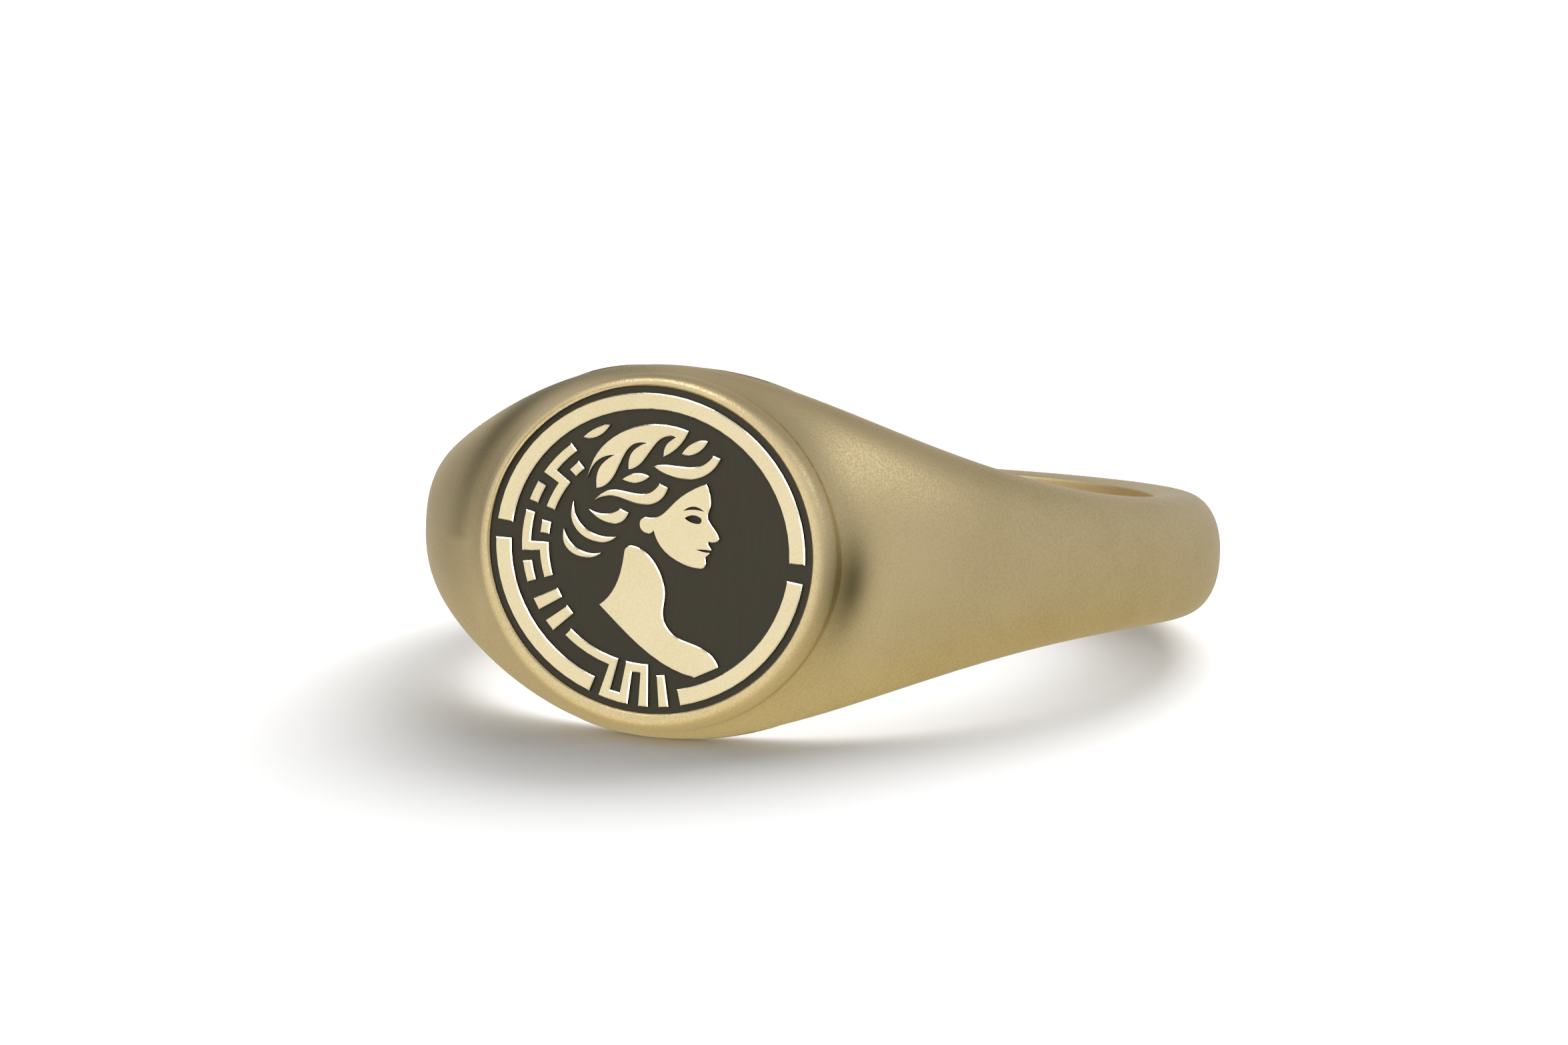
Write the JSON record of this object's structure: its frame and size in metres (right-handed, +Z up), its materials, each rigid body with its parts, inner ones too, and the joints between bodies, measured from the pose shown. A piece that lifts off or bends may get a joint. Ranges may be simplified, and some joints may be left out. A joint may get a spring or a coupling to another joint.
{
  "type": "signet ring",
  "caption": "Signet ring: a tapered satin gold-coloured hoop with an oval seal plate, dark enamel field, and raised motifs of a laureate head in profile, a key pattern and a border.",
  "frame": {"origin": "middle of the footprint of the ring lying on its side, on the table surface", "axes": "+Z up from the table and close to the finger axis, +X to the right when the seal is faced, -Y the way the seal looks, tipped up by 9.4 degrees"},
  "size_m": [0.0232, 0.023, 0.0102],
  "materials": {
    "satin_gold": "satin",
    "bright_gold": "satin",
    "dark_enamel": "satin"
  },
  "bodies": {
    "root": {"border_arc_lower_left": "bright_gold", "border_arc_lower_right": "bright_gold", "border_arc_upper": "bright_gold", "brow_enamel": "dark_enamel", "bust": "bright_gold", "enamel_ground": "dark_enamel", "eye_enamel": "dark_enamel", "face": "bright_gold", "hair_crown": "bright_gold", "hair_forelock": "bright_gold", "hair_nape_curl_lower": "bright_gold", "hair_nape_curl_upper": "bright_gold", "hair_side_curl": "bright_gold", "hair_temple_lock": "bright_gold", "head_plate": "satin_gold", "key_cross_bar_1": "bright_gold", "key_cross_bar_2": "bright_gold", "key_end_bar": "bright_gold", "key_inner_bar_1": "bright_gold", "key_inner_bar_2": "bright_gold", "key_outer_bar_1": "bright_gold", "key_outer_bar_2": "bright_gold", "key_step_1": "bright_gold", "key_step_2": "bright_gold", "key_wave": "bright_gold", "laurel_leaf_back": "bright_gold", "laurel_leaf_front": "bright_gold", "laurel_leaf_middle": "bright_gold", "shank": "satin_gold"}
  },
  "joints": []
}
